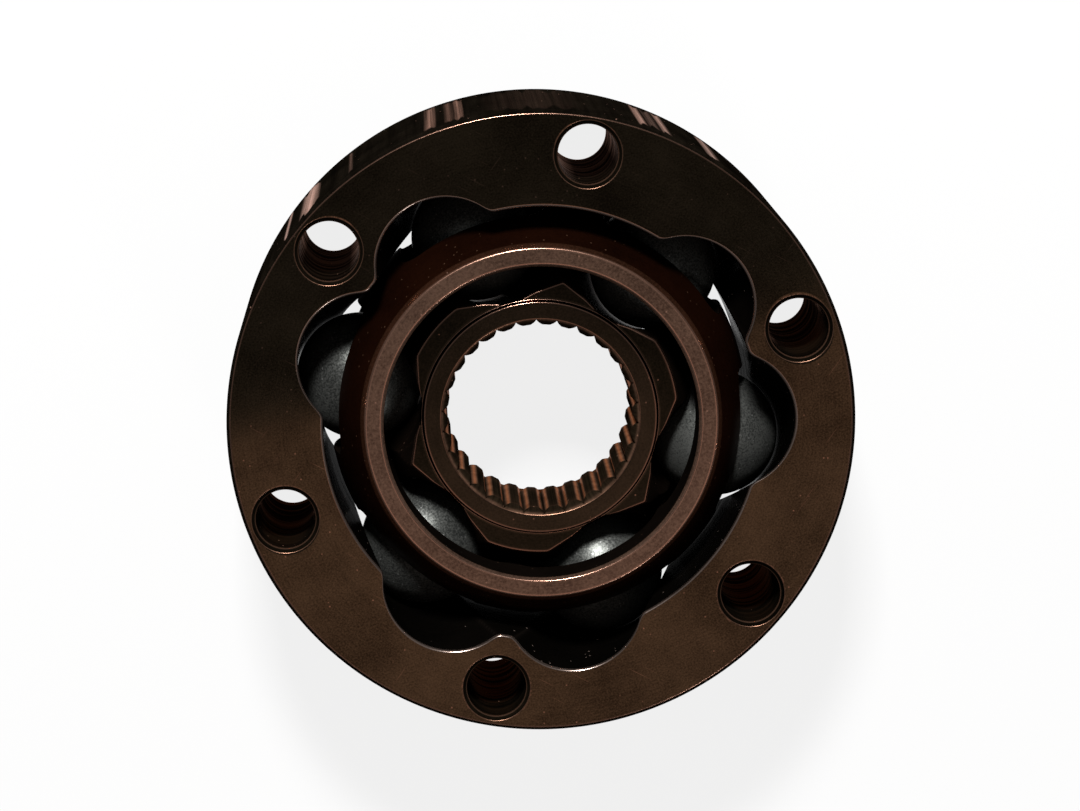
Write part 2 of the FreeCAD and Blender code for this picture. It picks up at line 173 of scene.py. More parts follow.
def rounded(points, radius, steps=3, hold=0.35):
    """A profile of (radius, height) points with its inner corners rounded, and 1 on each rounding, else 0.

    The radius is one number, or one for each inner corner. A corner becomes an arc tangent to both its sides,
    and a point just past each end of the arc keeps the edge mark close to it.
    """
    points = [np.asarray(point, dtype=float) for point in points]
    out, marks = [points[0]], [0.0]
    radii = np.broadcast_to(radius, len(points) - 2)
    for before, here, after, wanted in zip(points, points[1:], points[2:], radii):
        back, ahead = before - here, after - here
        reach = min(np.linalg.norm(back), np.linalg.norm(ahead))
        back, ahead = back / np.linalg.norm(back), ahead / np.linalg.norm(ahead)
        half = math.acos(np.clip(back @ ahead, -1, 1)) / 2
        size = min(wanted / math.tan(half), reach * 0.4)
        arm = size * math.tan(half) / math.sin(half)
        centre = here + (back + ahead) / np.linalg.norm(back + ahead) * arm
        start, end = here + back * size - centre, here + ahead * size - centre
        side = np.sign(start[0] * end[1] - start[1] * end[0])
        angle = side * np.linspace(0, math.pi - 2 * half, steps + 1)[:, None]
        arc = centre + np.cos(angle) * start + np.sin(angle) * (-start[1], start[0])
        held = size + min(hold, reach * 0.5 - size)
        out += [here + back * held, *arc, here + ahead * held]
        marks += [0.0] + [1.0] * (steps + 1) + [0.0]
    return np.array(out + [points[-1]]), np.array(marks + [0.0])


def mirrored(half):
    """A profile and its mirror image across the middle plane."""
    return half + [(radius, -height) for radius, height in half[::-1]]


def between_roundings(profile, marks):
    """A symmetrical profile from its first rounding to its last, without its plain ends."""
    first = np.argmax(marks > 0)
    return profile[first:-first], marks[first:-first]


def turned(radius, height, angle):
    """Points of a surface of revolution: radius and height broadcast against the angle round the Z axis."""
    radius, height, angle = np.broadcast_arrays(radius, height, angle)
    return np.stack([radius * np.cos(angle), radius * np.sin(angle), height], axis=-1)


def carried_round(points, angle):
    """Points carried round the Z axis by an angle."""
    cosine, sine = math.cos(angle), math.sin(angle)
    return points @ np.array([[cosine, sine, 0], [-sine, cosine, 0], [0, 0, 1]])


def smooth_max(a, b, blend):
    """The larger of two surfaces, rounded off where they are within the blend, and how near they are."""
    near = np.clip(blend - np.abs(a - b), 0, None) / blend
    return np.maximum(a, b) + near ** 2 * blend / 4, near


def smooth_min(a, b, blend):
    """The smaller of two surfaces, in the same way."""
    value, near = smooth_max(-a, -b, blend)
    return -value, near


WALL_ROWS = 36


def rolled_ends(half, curve):
    """Heights down a wall, and how far its rolled ends leave it there.

    The curve is one end, as rows of (depth below the face, distance off the wall), from the face to the wall.
    """
    body = np.linspace(half - curve[-1, 0], curve[-1, 0] - half, WALL_ROWS)[1:-1]
    height = np.concatenate([half - curve[:, 0], body, curve[::-1, 0] - half])
    off = np.concatenate([curve[:, 1], 0 * body, curve[::-1, 1]])
    return height, off


print("a right-angled corner rounds into", len(rounded([(0, 0), (1, 0), (1, 1)], 0.1)[0]), "points")

# %% [markdown]
# ## Leaning tracks
# A ball track is a straight round groove whose centre line stands off the joint axis and leans round it, one
# way in one track and the other way in the next. Cut across at any height it is an ellipse, so the distance
# from the axis to its wall is the root of a quadratic. The far root is the wall that a ball presses on in
# the outer race, the near root the one in the inner race, which leans the opposite way.

# %% Distance to a track's wall
TRACK_BLEND = 1.2
TRACK_MARK = 0.25


def track_wall(angle, height, index, lean, far):
    """Radius at which a ray from the axis meets a leaning groove, or no number where it misses it.

    In the plane across the axis the groove is an ellipse: half width TRACK_RADIUS towards the axis and
    TRACK_RADIUS / cos(lean) round it, its centre slid sideways by height times the tangent of the lean.
    """
    lean = lean * (1 if index % 2 else -1)
    away = angle - math.radians(60 * index + 30)
    away = (away + math.pi) % (2 * math.pi) - math.pi
    squash = math.cos(LEAN) ** 2
    slide = lean * height * math.tan(LEAN)
    a = np.cos(away) ** 2 + squash * np.sin(away) ** 2
    b = PITCH_RADIUS * np.cos(away) + squash * slide * np.sin(away)
    c = PITCH_RADIUS ** 2 + squash * slide ** 2 - TRACK_RADIUS ** 2
    inside = b ** 2 - a * c
    root = np.sqrt(np.where(inside > 0, inside, np.nan))
    wall = (b + root) / a if far else (b - root) / a
    return np.where(np.abs(away) < math.pi / 3, wall, np.nan)


def bore_radius(angle, height):
    """The outer race's bore: its lands, opened out by six tracks, and a faint mark along their edges."""
    radius = np.full(np.broadcast(angle, height).shape, LAND_RADIUS)
    edge = np.zeros_like(radius)
    for index in range(BALLS):
        wall = np.nan_to_num(track_wall(angle, height, index, 1, True), nan=0.0)
        radius, near = smooth_max(radius, wall, TRACK_BLEND)
        edge = np.maximum(edge, near * TRACK_MARK)
    return radius, edge


deepest = bore_radius(np.array([math.radians(30)]), np.array([0.0]))[0][0]
print(f"bore: lands at {LAND_RADIUS} mm, tracks {deepest - LAND_RADIUS:.2f} mm deep")

# %% [markdown]
# ## Outer race
# The race is a disc 108 mm across with a hole for each of six bolts. Its skin is two flat faces, the rim,
# the walls of the bolt holes, and the bore with its tracks. A flat face with a round hole and a wavy inner
# border can't be one plain grid, so each sixth of it is a ring of points from the bolt hole to the border of
# its sector.

# %% Patches of the outer race
SECTOR = math.radians(60)
ACROSS = 100
ALONG = 10
HOLE_ROUNDING = 0.12
RIM_ROUNDINGS = (0.22, 0.12, 0.12, 0.22)
MOUTH_MARK = 0.5
FACE_ROWS = np.array([0.1, 0.24, 0.42, 0.6, 0.78])[:, None]
BORE_ROLL = [[0.0, 1.0], [0.06, 0.72], [0.3, 0.42], [0.58, 0.2], [0.86, 0.06], [1.0, 0.0]]


def sector_border(across, along):
    """Points round a sector's border, anticlockwise: the angle off its middle, and 0 inside to 1 outside."""
    sweep = np.linspace(-SECTOR / 2, SECTOR / 2, across, endpoint=False)
    fall = np.linspace(1, 0, along, endpoint=False)
    angle = np.concatenate([sweep, np.full(along, SECTOR / 2), -sweep, np.full(along, -SECTOR / 2)])
    share = np.concatenate([np.ones(across), fall, np.zeros(across), 1 - fall])
    return angle, share


def face_border(middle, offset, height):
    """Inner border of a face: the bore's outline, grown by the bevel that it carries there."""
    radius, _ = bore_radius(middle + offset, np.full_like(offset, height))
    return radius + LAND_BEVEL


def race_face(middle, height, mouth, outer):
    """A sixth of a face: rows from the mouth of the bolt hole out to the sector's border.

    The share of the way from bore to rim grows evenly, and the angle as that share times two less its square,
    so that the rows meet the border squarely.
    """
    wide = outer - LAND_RADIUS
    end_angle, end_share = sector_border(ACROSS, ALONG)
    around = np.arctan2(BOLT_CIRCLE * end_angle, (end_share - 0.6) * wide)
    hole_x = BOLT_CIRCLE + mouth * np.cos(around)
    hole_y = mouth * np.sin(around)
    hole_angle = np.arctan2(hole_y, hole_x)
    inner = face_border(middle, hole_angle, height)
    hole_share = (np.hypot(hole_x, hole_y) - inner) / (outer - inner)
    length = np.hypot((end_angle - hole_angle) * BOLT_CIRCLE, (end_share - hole_share) * wide)
    edge_row = np.minimum(0.2 / length, 0.06)
    still = 0 * edge_row
    way = np.concatenate([[still, edge_row], FACE_ROWS + still, [1 - edge_row, still + 1]])
    angle = hole_angle + way * (2 - way) * (end_angle - hole_angle)
    share = hole_share + way * (end_share - hole_share)
    inner = face_border(middle, angle, height)
    radius = inner + share * (outer - inner)
    radius[0] = np.hypot(hole_x, hole_y)
    edge = np.zeros_like(radius)
    edge[0] = MOUTH_MARK
    edge[-1] = (end_share == 0) | (end_share == 1)
    return turned(radius, height, middle + angle), edge, around


def outer_race_patches():
    """The rim, then for each bolt hole two faces and its wall, then the bore."""
    full = np.arange(BALLS * ACROSS) * SECTOR / ACROSS - SECTOR / 2
    foot, shoulder = RACE_RADIUS - RACE_BEVEL, HALF_RACE - RACE_BEVEL
    rim_half = [(foot - 0.4, -HALF_RACE), (foot, -HALF_RACE), (RACE_RADIUS, -shoulder)]
    rim, rim_marks = rounded(mirrored(rim_half), RIM_ROUNDINGS)
    rim_marks = rim_marks * np.where(rim[:, 0] > RACE_RADIUS - RACE_BEVEL / 2, 0.1, 1.0)
    rim, rim_marks = between_roundings(rim, rim_marks)
    lip, neck = BOLT_HOLE + BOLT_BEVEL, HALF_RACE - BOLT_BEVEL
    hole_half = [(lip + 0.3, HALF_RACE), (lip, HALF_RACE), (BOLT_HOLE, neck)]
    hole, hole_marks = between_roundings(*rounded(mirrored(hole_half), HOLE_ROUNDING, steps=2))
    patches = [patch(turned(rim[:, :1], rim[:, 1:], full), rim_marks[:, None], finish=1)]
    for index in range(BALLS):
        middle = index * SECTOR
        for height in (HALF_RACE, -HALF_RACE):
            points, edge, around = race_face(middle, height, hole[0, 0], rim[0, 0])
            patches.append(patch(points, edge, finish=0))
        wall = turned(hole[:, :1], hole[:, 1:], around) + np.array([BOLT_CIRCLE, 0, 0])
        patches.append(patch(carried_round(wall, middle), hole_marks[:, None], finish=2))
    height, growth = rolled_ends(HALF_RACE, LAND_BEVEL * np.array(BORE_ROLL))
    radius, edge = bore_radius(full, height[:, None])
    edge = np.maximum(edge, (growth > 0)[:, None])
    patches.append(patch(turned(radius + growth[:, None], height[:, None], full), edge, finish=3))
    return patches


print("outer race:", len(outer_race_patches()), "patches")

# %% [markdown]
# ## Cage
# The cage is a ring, part of a sphere outside and inside, with one rounded window for each ball. A window is
# milled straight out through the wall, so its outline is the same flat rounded rectangle on both surfaces.
# Each sixth of the ring again starts round the window and ends on the sector's border. The rims are one
# turned profile, cut in two where the dark bevel ends and the paler flat begins.

# %% Patches of the cage
CAGE_ACROSS = 72
CAGE_ALONG = 40
CAGE_MIDDLE = 33
WINDOW_ROLL = 0.25
CAGE_STEPS = (0.3, 0.5, 0.7, 0.85)


def window_outline(around, grow):
    """A rounded rectangle met by rays from its middle, moved outwards by grow: along the ring, and up."""
    cosine, sine = np.cos(around), np.sin(around)
    reach = 1 / np.maximum(np.abs(cosine) / WINDOW_HALF_LENGTH, np.abs(sine) / WINDOW_HALF_HEIGHT)
    corner_x = np.sign(cosine) * (WINDOW_HALF_LENGTH - WINDOW_CORNER)
    corner_z = np.sign(sine) * (WINDOW_HALF_HEIGHT - WINDOW_CORNER)
    toward = cosine * corner_x + sine * corner_z
    gap = toward ** 2 - corner_x ** 2 - corner_z ** 2 + WINDOW_CORNER ** 2
    bent = (np.abs(reach * cosine) > np.abs(corner_x)) & (np.abs(reach * sine) > np.abs(corner_z))
    reach = np.where(bent, toward + np.sqrt(np.clip(gap, 0, None)), reach)
    x, z = reach * cosine, reach * sine
    upright = np.abs(x) > np.abs(corner_x)
    normal_x = np.where(bent, (x - corner_x) / WINDOW_CORNER, upright * np.sign(x))
    normal_z = np.where(bent, (z - corner_z) / WINDOW_CORNER, ~upright * np.sign(z))
    return x + grow * normal_x, z + grow * normal_z


def cage_surface(height, inside):
    """Radius of the cage at a height: the outer sphere, or the hollow and the two plain openings."""
    if inside:
        return np.maximum(CAGE_OPENING, np.sqrt(np.clip(CAGE_HOLLOW ** 2 - height ** 2, 0, None)))
    return np.sqrt(CAGE_RADIUS ** 2 - height ** 2)


def cage_wall_patch(middle, top, inside):
    """A sixth of the cage's outer or inner surface, from its window's edge to the sector's border.

    The rays round the window don't depend on the top, so both surfaces and the window's wall share them.
    """
    end_angle, share = sector_border(CAGE_ALONG, CAGE_ACROSS)
    up, end_angle = end_angle / (SECTOR / 2), (1 - 2 * share) * SECTOR / 2
    around = np.arctan2(up * HALF_CAGE, end_angle * CAGE_MIDDLE)
    x, z = window_outline(around, WINDOW_ROLL)
    window_angle = np.arcsin(x / cage_surface(z, inside))
    length = np.hypot((end_angle - window_angle) * CAGE_MIDDLE, up * top - z)
    edge_row = np.minimum(0.3 / length, 0.3)
    steps = [np.full_like(edge_row, step) for step in CAGE_STEPS]
    way = np.stack([0 * edge_row, edge_row] + steps + [0 * edge_row + 1])
    angle = window_angle + way * (end_angle - window_angle)
    height = z + way * (up * top - z)
    edge = np.zeros_like(angle)
    edge[0] = 1
    return turned(cage_surface(height, inside), height, middle + angle), edge, around


def window_wall(middle, around):
    """The four walls of a window, with a rolled edge at the outer and the inner surface."""
    roll = np.linspace(0, math.pi / 2, 4)
    rows, marks = [], []
    for inside in (False, True):
        for angle in roll[::-1] if inside else roll:
            x, z = window_outline(around, WINDOW_ROLL * (1 - math.sin(angle)))
            depth = WINDOW_ROLL * (1 - math.cos(angle)) * (-1 if inside else 1)
            y = np.sqrt(cage_surface(z, inside) ** 2 - x ** 2) - depth
            rows.append(np.stack([y, x, z], axis=-1))
            marks.append(1.0 if angle < roll[-1] - 1e-6 else 0.0)
    return carried_round(np.stack(rows), middle), np.array(marks)[:, None]


def cage_patches():
    """Both rims, each as bevel and flat, then for each ball both walls and the window between."""
    shoulder = HALF_CAGE - CAGE_BEVEL
    corner = math.sqrt(CAGE_RADIUS ** 2 - shoulder ** 2)
    rim, marks = rounded([
        (cage_surface(shoulder - 0.3, False), shoulder - 0.3), (corner, shoulder),
        (corner - CAGE_BEVEL, HALF_CAGE), (CAGE_OPENING + CAGE_LIP, HALF_CAGE),
        (CAGE_OPENING, HALF_CAGE - CAGE_LIP), (CAGE_OPENING, HALF_CAGE - CAGE_LIP - 0.3),
    ], (0.15, 0.24, 0.2, 0.15))
    marks = marks * np.where(rim[:, 1] < HALF_CAGE - 0.4, 0.25, 1.0)
    full = np.arange(BALLS * CAGE_ACROSS) * SECTOR / CAGE_ACROSS
    flat = int(np.argmax(rim[:, 1] > HALF_CAGE - 1e-6))
    patches = []
    for rows, finish in ((slice(0, flat + 1), 3), (slice(flat, None), 0)):
        low = rim[rows][::-1] * np.array([1, -1])
        patches.append(patch(turned(rim[rows, :1], rim[rows, 1:], full), marks[rows, None], finish))
        patches.append(patch(turned(low[:, :1], low[:, 1:], full), marks[rows][::-1, None], finish))
    for index in range(BALLS):
        middle = (index + 0.5) * SECTOR
        for inside, top in ((False, rim[0, 1]), (True, rim[-1, 1])):
            points, edge, around = cage_wall_patch(middle, top, inside)
            patches.append(patch(points, edge, finish=2 if inside else 1))
        points, edge = window_wall(middle, around)
        patches.append(patch(points, edge, finish=2))
    return patches


print("cage:", len(cage_patches()), "patches")

# %% [markdown]
# ## Inner race
# The star between the balls is a sphere cut flat at both ends, with six tracks that lean against those of
# the outer race. A shallow V opens each mouth of a track, which leaves narrow pointed lands and wide ones by
# turns. The outside is one radius for each angle and height: the smooth minimum of sphere, tracks and
# reliefs. A low hub ring stands on each face, and the bore has thirty spline teeth, a bevel in front and a
# wider recess behind.

# %% Patches of the inner race
STAR_AROUND = 960
STAR_ROLL = 0.2 * np.array([[0.0, 1.0], [0.1, 0.56], [0.3, 0.29], [0.6, 0.08], [1.0, 0.0]])
STAR_MARK = 0.4
RELIEF_BLEND = 0.25
STAR_TRACK_BLEND = 0.3
RELIEF_REACH = 0.7
FAR_OUT = 99.0
LAND_ROWS = np.array([0.3, 0.85])[:, None]
TOOTH_TOP_BLEND = 0.16
FLANK_FROM, FLANK_WIDTH, FLANK_POWER = 0.06, 1.04, 0.62
SPLINE_ROWS = np.array([
    [0.2, 0.0, 1, 0], [0.1, 0.03, 1, 0], [0.02, 0.1, 0.7, 0], [-0.38, 0.58, 0.1, 0], [-0.68, 1.0, 0, 0],
    [-0.9, 1.4, 0, 0], [-1.05, 1.75, 0.1, 0.4], [-1.2, 2.1, 0.2, 0.8], [-1.6, 2.4, 0.1, 0.9],
    [-2.1, 7.6, 0, 0.9], [-2.1, 14.6, 0, 0.9], [-2.1, 19.7, 0.2, 0.9], [-2.1, 20.0, 0.6, 0.9]])


def star_radius(angle, height):
    """Outside of the inner race: the least of its sphere, its track walls and the reliefs at their mouths."""
    radius = np.sqrt(STAR_RADIUS ** 2 - height ** 2) + 0 * angle
    edge = np.zeros_like(radius)
    lead = math.atan(HALF_STAR * math.tan(LEAN) / PITCH_RADIUS)
    root = MOUTH_ROOT * math.cos(MOUTH_FLANK) + (HALF_STAR - np.abs(height)) * math.tan(MOUTH_SLOPE)
    for index in range(BALLS):
        side = (-1 if index % 2 else 1) * np.where(height > 0, 1, -1)
        away = angle - math.radians(60 * index + 30) - side * lead
        away = np.abs((away + math.pi) % (2 * math.pi) - math.pi)
        relief = root / np.cos(np.minimum(away, RELIEF_REACH) + MOUTH_FLANK)
        relief = np.where(away < RELIEF_REACH, relief, FAR_OUT)
        wall = np.nan_to_num(track_wall(angle, height, index, -1, False), nan=FAR_OUT)
        for cut, blend in ((relief, RELIEF_BLEND), (wall, STAR_TRACK_BLEND)):
            radius, near = smooth_min(radius, cut, blend)
            edge = np.maximum(edge, near * STAR_MARK)
    return radius, edge


def tooth_radius(angle):
    """The spline's bore: thirty V spaces whose flanks round over at flat crests, and marks on the flanks."""
    step = 2 * math.pi / TEETH
    off = np.abs((angle + step / 2) % step - step / 2) * TOOTH_CREST
    rise = np.clip((off - FLANK_FROM) / FLANK_WIDTH, 0, 1) ** FLANK_POWER
    flank = TOOTH_ROOT - (TOOTH_ROOT - TOOTH_CREST) * rise
    radius, _ = smooth_max(flank, np.full_like(flank, TOOTH_CREST), TOOTH_TOP_BLEND)
    return radius, np.clip(1 - np.abs(off - 0.55) / 0.42, 0, 1) ** 0.5


def land_rows(inner, rim):
    """Radii of two rows on a star's face, between its hub and its outline."""
    rim_radius = np.hypot(rim[0, :, 0], rim[0, :, 1])
    return inner + (rim_radius - inner) * LAND_ROWS


def inner_race_patches():
    """The outside, the spline, the front hub, the front lands, and everything behind as one patch."""
    full = np.arange(STAR_AROUND) * 2 * math.pi / STAR_AROUND
    height, shrink = rolled_ends(HALF_STAR, STAR_ROLL)
    radius, edge = star_radius(full, height[:, None])
    edge = np.maximum(edge, (shrink > 0)[:, None])
    outside = turned(radius - shrink[:, None], height[:, None], full)
    patches = [patch(outside, edge, finish=1)]

    off_root, depth, cone_mark, flank_mark = SPLINE_ROWS.T[:, :, None]
    cone = TOOTH_ROOT + off_root
    tooth, tooth_edge = tooth_radius(full)
    wall, _ = smooth_max(tooth, cone, 0.1)
    wall[0] = cone[0]
    spline = turned(wall, HUB_TOP - depth, full)
    patches.append(patch(spline, np.maximum(cone_mark, tooth_edge * flank_mark), finish=2))

    mouth = cone[0, 0]
    hub, marks = rounded([(mouth, HUB_TOP), (HUB_RADIUS, HUB_TOP), (HUB_FOOT, HALF_STAR),
                          (HUB_FOOT + 0.4, HALF_STAR)], (0.17, 0.12))
    hub = np.insert(hub, 1, [mouth + 0.2, HUB_TOP], axis=0)
    marks = np.insert(marks, 1, 0.0)
    marks[0] = 1
    front = turned(hub[:, :1], hub[:, 1:], full)
    patches.append(patch(front, marks[:, None], finish=0))
    # The front lands take finish 3, a darker copy of the hub's: painted shade.
    lands = turned(land_rows(hub[-1, 0], outside[:1]), HALF_STAR, full)
    face = np.concatenate([front[-1:], lands, outside[:1]])
    patches.append(patch(face, np.array([0.0, 0.0, 0.0, 1.0])[:, None], finish=3))

    recess, marks = rounded([
        (TOOTH_ROOT + 0.3, SPLINE_END), (RECESS_RADIUS, SPLINE_END), (RECESS_RADIUS, -HUB_TOP),
        (HUB_RADIUS, -HUB_TOP), (HUB_FOOT, -HALF_STAR), (HUB_FOOT + 0.3, -HALF_STAR),
    ], 0.1)
    back = turned(recess[:, :1], recess[:, 1:], full)
    lands = turned(land_rows(recess[-1, 0], outside[-1:]), -HALF_STAR, full)
    behind = np.concatenate([spline[-1:], back, lands, outside[-1:]])
    patches.append(patch(behind, np.concatenate([[0.5], marks, [0.0, 0.0, 1.0]])[:, None], finish=0))
    return patches


print("inner race:", len(inner_race_patches()), "patches")

# %% [markdown]
# ## Balls
# A bearing ball is the roundest thing on the joint. Rows of latitude closed at both poles make one.

# %% Patches of a ball
BALL_AROUND = 112
BALL_ROWS = 57


def ball_patches(index):
    """A sphere about the ball's centre: its radius times the sine and cosine of latitude."""
    angle = math.radians(60 * index + 30)
    latitude = np.linspace(-math.pi / 2, math.pi / 2, BALL_ROWS)[:, None]
    around = np.arange(BALL_AROUND) * 2 * math.pi / BALL_AROUND
    points = turned(BALL_RADIUS * np.cos(latitude), BALL_RADIUS * np.sin(latitude), around)
    centre = np.array([PITCH_RADIUS * math.cos(angle), PITCH_RADIUS * math.sin(angle), 0])
    return [patch(points + centre)]


print("ball 1 stands at", ball_patches(0)[0]["points"].mean(axis=(0, 1)).round(2))

# %% [markdown]
# ## Steel finishes
# Every surface is bare steel, dark brown from heat treatment and oil, but each was finished in its own way:
# faces ground, rim and hub turned, holes drilled, tracks ground, balls lapped. The patterns are node groups
# on Object coordinates, so they stay on the metal, and give out masks that the materials turn into tone,
# roughness and relief.

# %% Node helpers


def new_group(name, inputs, outputs):
    """An empty shader group with the named float inputs and outputs."""
    group = bpy.data.node_groups.new(name, "ShaderNodeTree")
    for label, value in inputs.items():
        socket = group.interface.new_socket(name=label, in_out="INPUT", socket_type="NodeSocketFloat")
        socket.default_value = value
    for label in outputs:
        group.interface.new_socket(name=label, in_out="OUTPUT", socket_type="NodeSocketFloat")
    return group, group.nodes.new("NodeGroupInput").outputs, group.nodes.new("NodeGroupOutput").inputs


def plug(tree, socket, value):
    """A link from another socket, or a plain value."""
    if isinstance(value, bpy.types.NodeSocket):
        tree.links.new(value, socket)
    else:
        socket.default_value = value


def fill(tree, sockets, values):
    """Links or plain values for several sockets, by name or in order."""
    for key, value in values.items() if isinstance(values, dict) else enumerate(values):
        plug(tree, sockets[key], value)


def calc(tree, operation, *values, clamp=False):
    """One sum of sockets or numbers."""
    node = tree.nodes.new("ShaderNodeMath")
    node.operation = operation
    node.use_clamp = clamp
    fill(tree, node.inputs, values)
    return node.outputs[0]


def times(tree, a, b):
    """The product of two sockets or numbers."""
    return calc(tree, "MULTIPLY", a, b)


def noise(tree, vector, scale, detail, roughness=0.5):
    """Soft noise about a half, at a number of bumps to the metre."""
    node = tree.nodes.new("ShaderNodeTexNoise")
    fill(tree, node.inputs, {"Vector": vector, "Scale": scale, "Detail": detail, "Roughness": roughness})
    return node.outputs["Fac"]


def remap(tree, value, low, high, to_low=0.0, to_high=1.0):
    """A value brought from one range to another, and held inside it."""
    node = tree.nodes.new("ShaderNodeMapRange")
    fill(tree, node.inputs, {
        "Value": value, "From Min": low, "From Max": high, "To Min": to_low, "To Max": to_high})
    return node.outputs["Result"]


def combine(tree, x, y, z):
    """A vector of three sockets or numbers."""
    node = tree.nodes.new("ShaderNodeCombineXYZ")
    fill(tree, node.inputs, (x, y, z))
    return node.outputs[0]


def object_xyz(tree):
    """Object coordinates, whole and split."""
    place = tree.nodes.new("ShaderNodeTexCoord").outputs["Object"]
    split = tree.nodes.new("ShaderNodeSeparateXYZ")
    plug(tree, split.inputs[0], place)
    return place, split.outputs


def axis_parts(tree):
    """The distance from the joint axis, the two parts of the direction round it, and the height."""
    _, (x, y, z) = object_xyz(tree)
    radius = calc(tree, "SQRT", calc(tree, "ADD", times(tree, x, x), times(tree, y, y)))
    return radius, calc(tree, "DIVIDE", x, radius), calc(tree, "DIVIDE", y, radius), z


def round_axis(tree, east, north, fineness, third):
    """A noise's place: the direction round the axis, as fine as given, and a third value."""
    return combine(tree, times(tree, east, fineness), times(tree, north, fineness), third)


print("node helpers ready")

# %% [markdown]
# ## Patterns
# A lathe leaves fine lines round the axis, a broach or a belt leaves streaks along it. A noise does both, if
# it changes fast across the lines and slowly along them.

# %% Lines and streaks of the tools


def lathe_lines_group():
    """Fine lines round the axis: noise by radius on a face (Axial 0), by height on a wall (Axial 1)."""
    group, given, out = new_group("lathe_lines", {"Lines": 6000.0, "Axial": 0.0}, ["Lines"])
    radius, east, north, z = axis_parts(group)
    on_face = times(group, radius, calc(group, "SUBTRACT", 1.0, given["Axial"]))
    across = calc(group, "ADD", on_face, times(group, z, given["Axial"]))
    place = round_axis(group, east, north, 2.5, times(group, across, given["Lines"]))
    plug(group, out["Lines"], noise(group, place, 1.0, 3.0, 0.6))
    return group


def axial_grain_group():
    """Streaks along the axis, left by a broach or a belt: noise of the direction, hardly of the height."""
    group, given, out = new_group("axial_grain", {"Fineness": 17.0}, ["Grain"])
    _, east, north, z = axis_parts(group)
    place = round_axis(group, east, north, given["Fineness"], times(group, z, 12.0))
    plug(group, out["Grain"], remap(group, noise(group, place, 1.0, 3.0, 0.7), 0.3, 0.7))
    return group


def scratches_group():
    """Fine scratches on two slants: noise drawn out long along each, and only its highest crests kept."""
    group, _, out = new_group("scratches", {}, ["Scratches"])
    _, (x, y, z) = object_xyz(group)
    found = []
    for slant, lift in ((0.6, 3.0), (2.3, 8.0)):
        cosine, sine = math.cos(slant), math.sin(slant)
        along = calc(group, "ADD", times(group, x, cosine), times(group, y, sine))
        across = calc(group, "SUBTRACT", times(group, y, cosine), times(group, x, sine))
        place = combine(group, times(group, along, 110.0), times(group, across, 3200.0),
                        calc(group, "ADD", times(group, z, 200.0), lift))
        found.append(remap(group, noise(group, place, 1.0, 1.0), 0.74, 0.82))
    plug(group, out["Scratches"], calc(group, "MAXIMUM", *found))
    return group


GROUPS = {"lathe": lathe_lines_group(), "grain": axial_grain_group(), "scratches": scratches_group()}
print("patterns:", ", ".join(GROUPS))

# %% [markdown]
# The rim carries narrow copper bands along the axis: painted reflections of bright things round the joint.
# They stand at chosen angles, and a noise bends and ends them.

# %% Painted reflection bands on the rim
# Painted reflections: each band's angle round the axis and half width, in degrees, and its strength.
PAINTED_REFLECTION_BANDS = (
    (123.5, 0.6, 0.7), (117.2, 2.2, 1.0), (106.9, 0.45, 0.15), (90.0, 1.0, 0.4), (86.4, 0.8, 0.15),
    (84.6, 0.8, 0.4), (71.0, 8.0, 0.025), (50.6, 0.8, 0.8), (48.3, 1.0, 0.15), (46.0, 0.8, 0.6),
    (36.3, 1.3, 0.6), (14.0, 1.2, 0.2), (-21.0, 2.0, 0.4), (-64.0, 1.1, 0.3), (-88.0, 1.6, 0.4),
    (-143.0, 1.0, 0.3), (-149.0, 0.6, 0.2), (171.0, 1.4, 0.5),
)
BAND_END = 0.0201
WALL_END = 0.0206


def painted_reflection_bands_group():
    """Painted reflection bands along the axis: for each, how far the angle is from its middle.

    A band is given as its angle round the axis and half its width, in degrees, and its strength. A noise
    bends it a little and ends it at its own distance from the bevels. Oiled is the wall between the bands.
    """
    group, _, out = new_group("painted_reflection_bands", {}, ["Bands", "Oiled"])
    _, east, north, z = axis_parts(group)
    angle = times(group, calc(group, "ARCTAN2", north, east), 180 / math.pi)
    bend = noise(group, round_axis(group, east, north, 3.0, times(group, z, 28.0)), 1.0, 0.0)
    angle = calc(group, "ADD", angle, calc(group, "SUBTRACT", bend, 0.5))
    bands = 0.0
    for middle, half_width, strength in PAINTED_REFLECTION_BANDS:
        away = calc(group, "ABSOLUTE", calc(group, "SUBTRACT", angle, middle))
        band = remap(group, away, half_width * 1.25, 0.0, 0.0, strength)
        bands = calc(group, "MAXIMUM", band, bands)
    ends = noise(group, round_axis(group, east, north, 30.0, 0.0), 1.0, 1.0)
    reach = calc(group, "SUBTRACT", BAND_END, remap(group, ends, 0.4, 0.7, 0.0, 0.007))
    height = calc(group, "ABSOLUTE", z)
    past = calc(group, "SUBTRACT", height, reach)
    bands = times(group, bands, remap(group, past, 0.0005, -0.002))
    plug(group, out["Bands"], bands)
    wall = remap(group, height, WALL_END, WALL_END - 0.0003)
    plug(group, out["Oiled"], times(group, wall, remap(group, bands, 0.0, 0.2, 1.0, 0.0)))
    return group


GROUPS["bands"] = painted_reflection_bands_group()
print(len(PAINTED_REFLECTION_BANDS), "bands on the rim")

# %% [markdown]
# Three patterns belong to every surface: an oil film with its clouds, edges rubbed back to bright copper-
# brown by hands and tools, and a few specks. Edges come from the attribute that the patches carry.

# %% Film, edges and specks


def oil_film_group():
    """Clouds of oil and heat colour some millimetres across, with a fine mottle inside them."""
    group, given, out = new_group("oil_film", {"Mottle": 1800.0}, ["Film", "Mottle"])
    place, _ = object_xyz(group)
    clouds = noise(group, place, 60.0, 5.0, 0.62)
    plug(group, out["Film"], remap(group, clouds, 0.32, 0.68))
    plug(group, out["Mottle"], noise(group, place, given["Mottle"], 3.0, 0.65))
    return group


